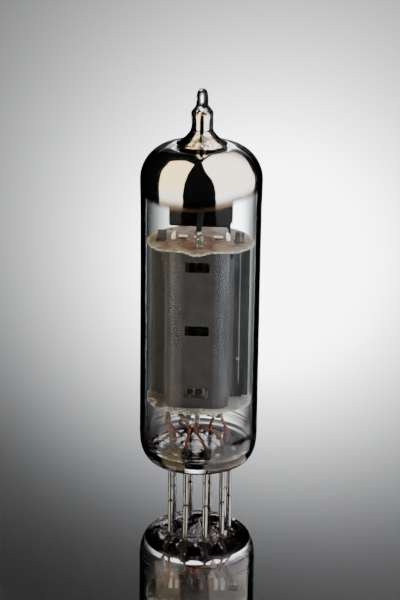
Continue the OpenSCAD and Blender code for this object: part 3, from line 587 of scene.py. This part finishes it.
soot = Finish("black_plate")
sooty = soot.noise(0.6, 5, 0.7)
soot.surface(Base_Color=soot.mixed(sooty, rgb(0.001, 0.001, 0.001), rgb(0.003, 0.003, 0.003)),
             Specular_IOR_Level=0.03, Roughness=0.55 + sooty * 0.2, Normal=soot.bump(soot.noise(0.1), 0.02))
dressed("radiator_plate", "radiator", soot.material, rounding=0.05)

# The straps and tabs: thin nickel ribbon, cut by hand, bent and spot welded between the electrodes
# and the sealing wires.

for strap in ("control_grid_strap", "cathode_strap", "screen_grid_strap", "anode_strap", "heater_tabs"):
    ribbon = strap.replace("_grid", "") + "_ribbon"
    dressed(strap, ribbon, bare_nickel.material, rounding=0.04, angle=50)

# The studio: a polished floor that mirrors a softly lit backdrop, and two large sheets of lit
# diffusion bent over the tube, with a dark gap between them at the front. It is laid out square to
# the camera, and the tube stands a little turned in it.

STUDIO_TURN = Matrix.Rotation(radians(4.2), 4, "Z")
BACKDROP_Y = 2
bpy.ops.object.select_all(action="DESELECT")
bpy.ops.mesh.primitive_plane_add(size=6)
floor = bpy.context.object
floor.name = "floor"
polish = Finish("floor_polish")
polish.surface(Base_Color=polish.mixed(polish.noise(300, 2), rgb(0.78, 0.79, 0.80), rgb(0.82, 0.82, 0.83)),
               Metallic=1.0, Roughness=0.02)
floor.data.materials.append(polish.material)

bpy.ops.object.select_all(action="DESELECT")
bpy.ops.mesh.primitive_plane_add(size=1.5, location=(0.15, BACKDROP_Y, 0.65), rotation=(radians(90), 0, 0))
backdrop = bpy.context.object
backdrop.matrix_world = STUDIO_TURN @ backdrop.matrix_world
backdrop.name = "backdrop"
paper = Finish("backdrop_paper")
paper_white = paper.mixed(paper.noise(200, 2), rgb(0.78, 0.79, 0.80), rgb(0.80, 0.81, 0.82))
# Painted light: the paper glows a little, more towards its top and its right.
painted_glow_share = paper.y.step(-200, 560) * ((paper.x + 1200) * 0.0007).most(0.2)
painted_glow = paper.mixed(painted_glow_share, rgb(0, 0, 0), rgb(0.055, 0.056, 0.06))
paper.surface(Base_Color=paper_white, Roughness=0.9, Emission_Color=painted_glow, Emission_Strength=1.0)
backdrop.data.materials.append(paper.material)


def diffusion_sheet(name, edges, low_colour, high_colour, strength):
    """A lit sheet hung between a front and a back edge, given as pairs of points in millimetres."""
    bpy.ops.object.select_all(action="DESELECT")
    bpy.ops.mesh.primitive_grid_add(x_subdivisions=1, y_subdivisions=len(edges) - 1, size=1)
    sheet = bpy.context.object
    sheet.name = name
    corners = sorted(sheet.data.vertices, key=lambda v: (round(v.co.y, 4), v.co.x))
    for v, point in zip(corners, [p for pair in edges for p in pair]):
        v.co = STUDIO_TURN @ (Vector(point) * MM)
    lit = Finish(name + "_light")
    colour = lit.mixed((lit.z + lit.noise(60, 2) * 40).step(25, 110), low_colour, high_colour)
    lit.show(lit.node("ShaderNodeEmission", inputs={"Color": colour, "Strength": strength}))
    sheet.data.materials.append(lit.material)
    sheet.visible_camera = False


left_edges = [
    ((-100, -133, -5), (-100, -38, -5)), ((-100, -138, 12), (-100, -34, 14)),
    ((-100, -146, 34), (-101, -7, 28)), ((-100, -152, 90), (-102, -8, 80)),
    ((-98, -146, 196), (-115, 38, 180)), ((-77, -88, 305), (-137, 100, 260)),
    ((-48, 10, 373), (-89, 110, 373))]
right_edges = [
    ((100, -185, -5), (100, -56, -5)), ((100, -187, 14), (101, -52, 14)), ((98, -192, 50), (108, 60, 30)),
    ((95, -215, 184), (119, 77, 95)), ((70, -210, 317), (145, 113, 125)), ((31, -135, 395), (162, 200, 185)),
    ((2, 58, 395), (144, 322, 245)), ((23, 189, 395), (82, 384, 265)), ((40, 382, 315), (60, 392, 290))]
diffusion_sheet("left_sheet", left_edges, rgb(0.80, 0.75, 0.70), rgb(1.0, 0.76, 0.42), 3.2)
diffusion_sheet("right_sheet", right_edges, rgb(0.88, 0.92, 1.0), rgb(1.0, 0.90, 0.80), 3.4)

LAMP_AIM = Vector((0.088, 1, -0.261))
bpy.ops.object.light_add(type="AREA", location=(0.0755, BACKDROP_Y - 0.139, 0.589))
lamp = bpy.context.object
lamp.name = "backdrop_lamp"
lamp.data.shape, lamp.data.size, lamp.data.energy = "DISK", 0.05, 8
lamp.rotation_euler = LAMP_AIM.to_track_quat("-Z", "Y").to_euler()
bpy.context.view_layer.update()
lamp.matrix_world = STUDIO_TURN @ lamp.matrix_world
lamp.visible_glossy = lamp.visible_camera = False

room = bpy.data.worlds.new("dim_room")
room.use_nodes = True
room_light = room.node_tree.nodes["Background"]
room_light.inputs["Color"].default_value = rgb(0.8, 0.9, 1.0)
room_light.inputs["Strength"].default_value = 0.005
bpy.context.scene.world = room

# The camera: a long lens a third of a metre in front of the tube and above it, which looks down on
# it and is rolled a little. It turns with the studio.

LOOK_DOWN, ROLL = 18.31, 0.72
bpy.ops.object.camera_add(location=(0, -0.34217, 0.15179))
camera = bpy.context.object
camera.name = "camera"
camera.data.lens, camera.data.sensor_width = 117.83, 36
camera.data.clip_start, camera.data.clip_end = 0.01, 20
tilt = Euler((radians(90 - LOOK_DOWN), 0, 0)).to_matrix()
camera.rotation_euler = (tilt @ Matrix.Rotation(radians(ROLL), 3, "Z")).to_euler()
bpy.context.view_layer.update()
camera.matrix_world = STUDIO_TURN @ camera.matrix_world
bpy.context.scene.camera = camera
